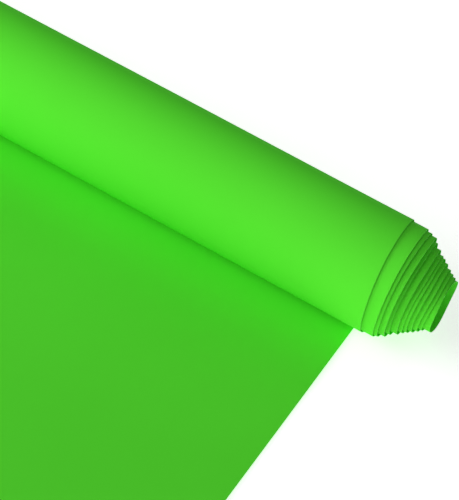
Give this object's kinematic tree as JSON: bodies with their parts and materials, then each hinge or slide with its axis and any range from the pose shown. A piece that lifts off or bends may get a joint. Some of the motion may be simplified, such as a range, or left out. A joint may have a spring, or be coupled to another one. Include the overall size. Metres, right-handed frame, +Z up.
{
  "type": "backdrop paper roll",
  "caption": "Coreless roll of matte chroma-green backdrop paper with telescoped turns and a length of sheet pulled out flat.",
  "frame": {"origin": "on the floor under the sheet, at the middle of the object's whole length and depth", "axes": "+X along the roll towards the end where the inner turns stand out, -Y the way the flat sheet runs off, +Z up from the floor"},
  "size_m": [1.4028, 0.4649, 0.0899],
  "materials": {
    "green_paper": "matte"
  },
  "bodies": {
    "flat_sheet_root": {"flat_strip_1_at_roll": "green_paper", "turn_start_on_floor": "green_paper"},
    "roll_turn_01": {"turn_01_back": "green_paper", "turn_01_top": "green_paper", "turn_01_front": "green_paper", "turn_01_bottom": "green_paper"},
    "roll_turn_02": {"turn_02_back": "green_paper", "turn_02_top": "green_paper", "turn_02_front": "green_paper", "turn_02_bottom": "green_paper"},
    "roll_turn_03": {"turn_03_back": "green_paper", "turn_03_top": "green_paper", "turn_03_front": "green_paper", "turn_03_bottom": "green_paper"},
    "roll_turn_04": {"turn_04_back": "green_paper", "turn_04_top": "green_paper", "turn_04_front": "green_paper", "turn_04_bottom": "green_paper"},
    "roll_turn_05": {"turn_05_back": "green_paper", "turn_05_top": "green_paper", "turn_05_front": "green_paper", "turn_05_bottom": "green_paper"},
    "roll_turn_06": {"turn_06_back": "green_paper", "turn_06_top": "green_paper", "turn_06_front": "green_paper", "turn_06_bottom": "green_paper"},
    "roll_turn_07": {"turn_07_back": "green_paper", "turn_07_top": "green_paper", "turn_07_front": "green_paper", "turn_07_bottom": "green_paper"},
    "roll_turn_08": {"turn_08_back": "green_paper", "turn_08_top": "green_paper", "turn_08_front": "green_paper", "turn_08_bottom": "green_paper"},
    "roll_turn_09": {"turn_09_back": "green_paper", "turn_09_top": "green_paper", "turn_09_front": "green_paper", "turn_09_bottom": "green_paper"},
    "roll_turn_10": {"turn_10_back": "green_paper", "turn_10_top": "green_paper", "turn_10_front": "green_paper", "turn_10_bottom": "green_paper"},
    "roll_turn_11": {"turn_11_back": "green_paper", "turn_11_top": "green_paper", "turn_11_front": "green_paper", "turn_11_bottom": "green_paper"},
    "roll_turn_12": {"turn_12_back": "green_paper", "turn_12_top": "green_paper", "turn_12_front": "green_paper", "turn_12_bottom": "green_paper"},
    "roll_turn_13": {"turn_13_back": "green_paper", "turn_13_top": "green_paper"},
    "flat_strip_body_2": {"flat_strip_2": "green_paper"},
    "flat_strip_body_3": {"flat_strip_3": "green_paper"},
    "flat_strip_body_4": {"flat_strip_4": "green_paper"},
    "flat_strip_body_5": {"flat_strip_5": "green_paper"},
    "flat_strip_body_6": {"flat_strip_6": "green_paper"},
    "flat_strip_body_7": {"flat_strip_7": "green_paper"},
    "flat_strip_body_8": {"flat_strip_8_free_edge": "green_paper"}
  },
  "joints": [
    {"name": "telescope_01", "type": "slide", "parent": "flat_sheet_root", "child": "roll_turn_01", "axis": [1, 0, 0], "range_m": [-0.0096, 0.0096]},
    {"name": "telescope_02", "type": "slide", "parent": "roll_turn_01", "child": "roll_turn_02", "axis": [1, 0, 0], "range_m": [-0.0079, 0.0079]},
    {"name": "telescope_03", "type": "slide", "parent": "roll_turn_02", "child": "roll_turn_03", "axis": [1, 0, 0], "range_m": [-0.0032, 0.0032]},
    {"name": "telescope_04", "type": "slide", "parent": "roll_turn_03", "child": "roll_turn_04", "axis": [1, 0, 0], "range_m": [-0.0045, 0.0045]},
    {"name": "telescope_05", "type": "slide", "parent": "roll_turn_04", "child": "roll_turn_05", "axis": [1, 0, 0], "range_m": [-0.0024, 0.0024]},
    {"name": "telescope_06", "type": "slide", "parent": "roll_turn_05", "child": "roll_turn_06", "axis": [1, 0, 0], "range_m": [-0.0047, 0.0047]},
    {"name": "telescope_07", "type": "slide", "parent": "roll_turn_06", "child": "roll_turn_07", "axis": [1, 0, 0], "range_m": [-0.003, 0.003]},
    {"name": "telescope_08", "type": "slide", "parent": "roll_turn_07", "child": "roll_turn_08", "axis": [1, 0, 0], "range_m": [-0.0026, 0.0026]},
    {"name": "telescope_09", "type": "slide", "parent": "roll_turn_08", "child": "roll_turn_09", "axis": [1, 0, 0], "range_m": [-0.0032, 0.0032]},
    {"name": "telescope_10", "type": "slide", "parent": "roll_turn_09", "child": "roll_turn_10", "axis": [1, 0, 0], "range_m": [-0.0034, 0.0034]},
    {"name": "telescope_11", "type": "slide", "parent": "roll_turn_10", "child": "roll_turn_11", "axis": [1, 0, 0], "range_m": [-0.0028, 0.0028]},
    {"name": "telescope_12", "type": "slide", "parent": "roll_turn_11", "child": "roll_turn_12", "axis": [1, 0, 0], "range_m": [-0.0044, 0.0044]},
    {"name": "telescope_13", "type": "slide", "parent": "roll_turn_12", "child": "roll_turn_13", "axis": [1, 0, 0], "range_m": [-0.001, 0.001]},
    {"name": "sheet_bend_1", "type": "hinge", "parent": "flat_sheet_root", "child": "flat_strip_body_2", "pos_m": [0, 0.135, 0.0003], "axis": [-1, 0, 0], "range_deg": [0, 25]},
    {"name": "sheet_bend_2", "type": "hinge", "parent": "flat_strip_body_2", "child": "flat_strip_body_3", "pos_m": [0, 0.0825, 0.0003], "axis": [-1, 0, 0], "range_deg": [0, 25]},
    {"name": "sheet_bend_3", "type": "hinge", "parent": "flat_strip_body_3", "child": "flat_strip_body_4", "pos_m": [0, 0.03, 0.0003], "axis": [-1, 0, 0], "range_deg": [0, 25]},
    {"name": "sheet_bend_4", "type": "hinge", "parent": "flat_strip_body_4", "child": "flat_strip_body_5", "pos_m": [0, -0.0225, 0.0003], "axis": [-1, 0, 0], "range_deg": [0, 25]},
    {"name": "sheet_bend_5", "type": "hinge", "parent": "flat_strip_body_5", "child": "flat_strip_body_6", "pos_m": [0, -0.075, 0.0003], "axis": [-1, 0, 0], "range_deg": [0, 25]},
    {"name": "sheet_bend_6", "type": "hinge", "parent": "flat_strip_body_6", "child": "flat_strip_body_7", "pos_m": [0, -0.1275, 0.0003], "axis": [-1, 0, 0], "range_deg": [0, 25]},
    {"name": "sheet_bend_7", "type": "hinge", "parent": "flat_strip_body_7", "child": "flat_strip_body_8", "pos_m": [0, -0.18, 0.0003], "axis": [-1, 0, 0], "range_deg": [0, 25]}
  ],
  "couplings": [
    {"joint": "telescope_02", "follows": "telescope_01", "ratio": 0.8229},
    {"joint": "telescope_03", "follows": "telescope_01", "ratio": 0.3333},
    {"joint": "telescope_04", "follows": "telescope_01", "ratio": 0.4687},
    {"joint": "telescope_05", "follows": "telescope_01", "ratio": 0.25},
    {"joint": "telescope_06", "follows": "telescope_01", "ratio": 0.4895},
    {"joint": "telescope_07", "follows": "telescope_01", "ratio": 0.3125},
    {"joint": "telescope_08", "follows": "telescope_01", "ratio": 0.2708},
    {"joint": "telescope_09", "follows": "telescope_01", "ratio": 0.3333},
    {"joint": "telescope_10", "follows": "telescope_01", "ratio": 0.3541},
    {"joint": "telescope_11", "follows": "telescope_01", "ratio": 0.2916},
    {"joint": "telescope_12", "follows": "telescope_01", "ratio": 0.4583},
    {"joint": "telescope_13", "follows": "telescope_01", "ratio": 0.1041},
    {"joint": "sheet_bend_2", "follows": "sheet_bend_1", "ratio": 1},
    {"joint": "sheet_bend_3", "follows": "sheet_bend_1", "ratio": 1},
    {"joint": "sheet_bend_4", "follows": "sheet_bend_1", "ratio": 1},
    {"joint": "sheet_bend_5", "follows": "sheet_bend_1", "ratio": 1},
    {"joint": "sheet_bend_6", "follows": "sheet_bend_1", "ratio": 1},
    {"joint": "sheet_bend_7", "follows": "sheet_bend_1", "ratio": 1}
  ]
}
